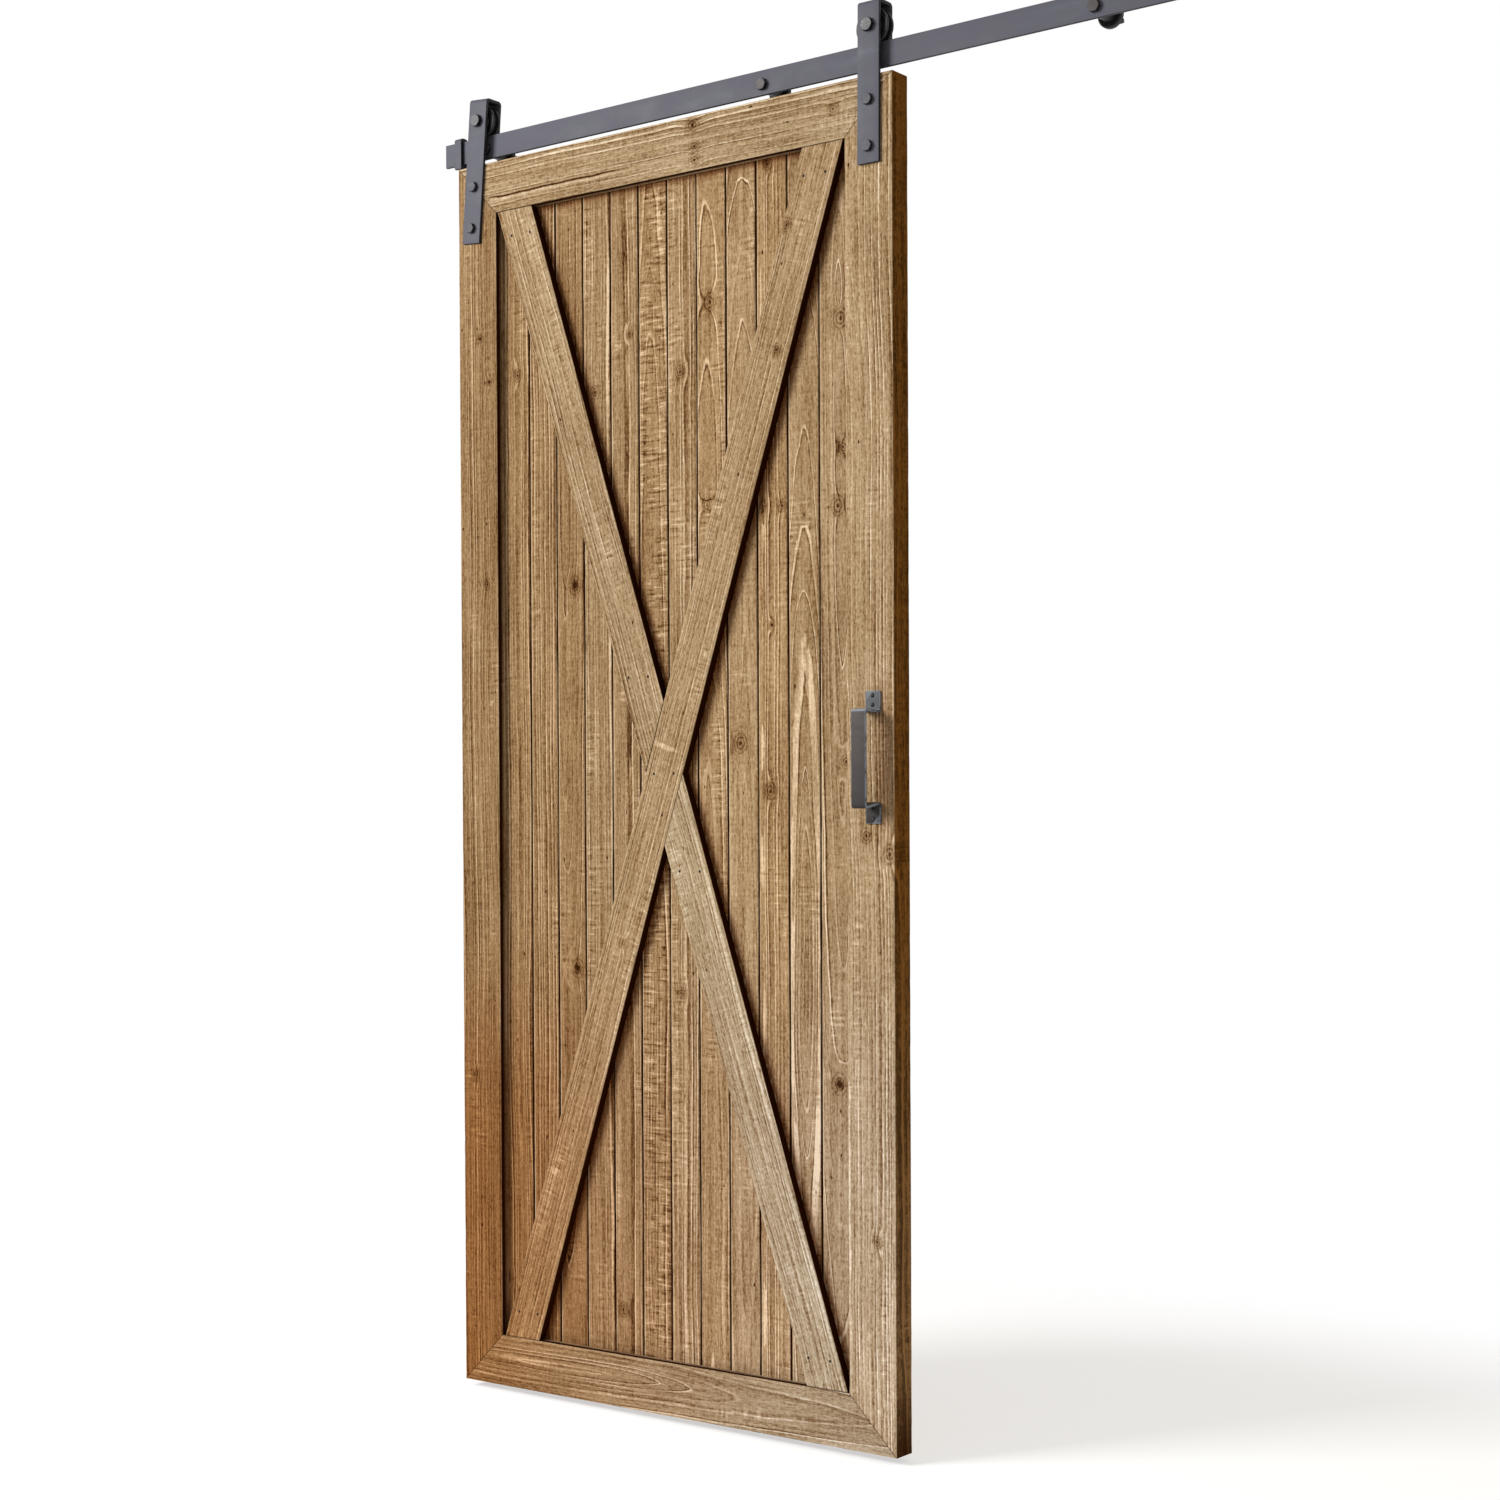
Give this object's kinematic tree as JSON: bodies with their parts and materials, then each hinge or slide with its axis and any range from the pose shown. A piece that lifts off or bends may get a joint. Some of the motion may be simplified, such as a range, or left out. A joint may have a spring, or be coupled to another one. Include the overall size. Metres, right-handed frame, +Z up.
{
  "type": "sliding barn door",
  "caption": "Sliding barn door: mitred wood frame with upright planks and an X brace, hung by strap hangers with grooved wheels on a flat steel wall track with end stops.",
  "frame": {"origin": "middle of the row of wall bolts, on the wall plane", "axes": "+X along the track to the right, +Y into the wall, +Z up; the room is at -Y"},
  "size_m": [2, 0.1435, 2.2484],
  "materials": {
    "satin_steel": "satin",
    "dark_fastener": "satin",
    "bush_bronze": "satin",
    "frame_wood": "stained, matt",
    "plank_wood": "stained, matt",
    "brace_wood": "stained, matt",
    "dowel_wood": "plain"
  },
  "bodies": {
    "track": {"track_rail": "satin_steel", "standoffs": "dark_fastener", "wall_bolts": "dark_fastener", "left_stop": "satin_steel", "right_stop": "satin_steel", "stop_screws": "dark_fastener"},
    "door": {"left_hanger": "satin_steel", "right_hanger": "satin_steel", "axle_bolts": "dark_fastener", "axle_washers": "satin_steel", "axle_nuts": "dark_fastener", "door_bolts": "dark_fastener", "door_washers": "dark_fastener", "door_nuts": "dark_fastener", "left_stile": "frame_wood", "right_stile": "frame_wood", "top_rail": "frame_wood", "bottom_rail": "frame_wood", "corner_dowels": "dowel_wood", "plank_01": "plank_wood", "plank_02": "plank_wood", "plank_03": "plank_wood", "plank_04": "plank_wood", "plank_05": "plank_wood", "plank_06": "plank_wood", "plank_07": "plank_wood", "plank_08": "plank_wood", "plank_09": "plank_wood", "plank_10": "plank_wood", "plank_11": "plank_wood", "plank_12": "plank_wood", "long_brace": "brace_wood", "upper_brace": "brace_wood", "lower_brace": "brace_wood", "brace_nails": "dark_fastener", "handle": "satin_steel", "handle_screws": "dark_fastener"},
    "left_wheel": {"left_wheel": "satin_steel", "left_wheel_bush": "bush_bronze"},
    "right_wheel": {"right_wheel": "satin_steel", "right_wheel_bush": "bush_bronze"}
  },
  "joints": [
    {"name": "door_slide", "type": "slide", "parent": "track", "child": "door", "axis": [1, 0, 0], "range_m": [-0.0245, 1.018]},
    {"name": "left_wheel_spin", "type": "hinge", "parent": "door", "child": "left_wheel", "pos_m": [-0.9085, -0.048, 0.0473], "axis": [0, 1, 0], "range_deg": [-60, 2440]},
    {"name": "right_wheel_spin", "type": "hinge", "parent": "door", "child": "right_wheel", "pos_m": [-0.0851, -0.048, 0.0473], "axis": [0, 1, 0], "range_deg": [-60, 2440]}
  ],
  "couplings": [
    {"joint": "left_wheel_spin", "follows": "door_slide", "rad_per_m": 41.667},
    {"joint": "right_wheel_spin", "follows": "door_slide", "rad_per_m": 41.667}
  ]
}
